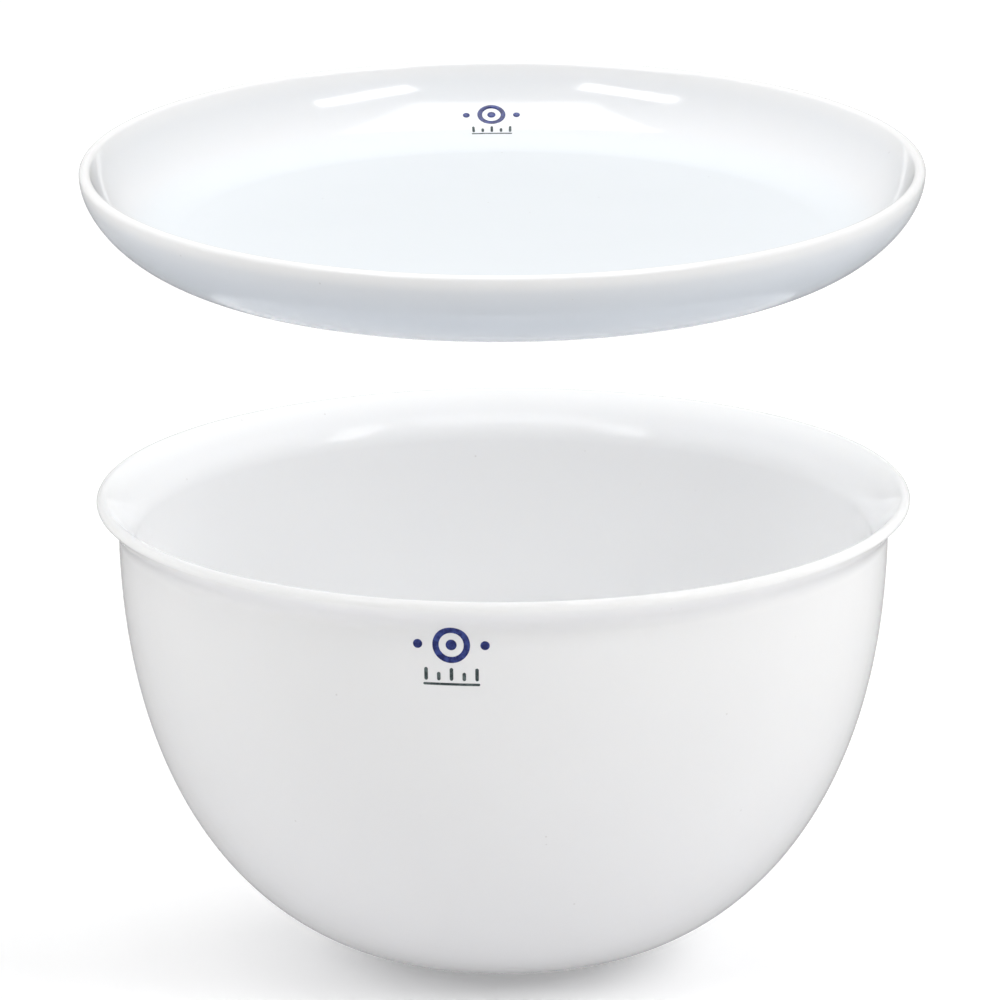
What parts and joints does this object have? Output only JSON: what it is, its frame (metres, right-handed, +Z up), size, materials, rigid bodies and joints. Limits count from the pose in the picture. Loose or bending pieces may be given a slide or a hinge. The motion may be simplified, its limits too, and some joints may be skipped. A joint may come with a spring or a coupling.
{
  "type": "porcelain crucible",
  "caption": "Deep round glazed porcelain crucible bowl with a flared rim and small foot ring, and a loose saucer lid that seats in the mouth and lifts straight off.",
  "frame": {"origin": "centre of the circle that the bowl's foot ring stands on", "axes": "+Z up along the axis that both pieces are turned about, -Y towards the viewer's side, where the printed mark is, +X to the viewer's right"},
  "size_m": [0.1454, 0.1454, 0.1396],
  "materials": {
    "bowl_porcelain": "gloss",
    "lid_porcelain": "gloss",
    "unglazed_foot": "matte",
    "fired_blue": "gloss",
    "fired_grey": "gloss"
  },
  "bodies": {
    "bowl": {"bowl": "bowl_porcelain"},
    "lid": {"lid": "lid_porcelain"}
  },
  "joints": [
    {"name": "lid_lift", "type": "slide", "parent": "bowl", "child": "lid", "axis": [0, 0, 1], "range_m": [-0.0485, 0]}
  ]
}
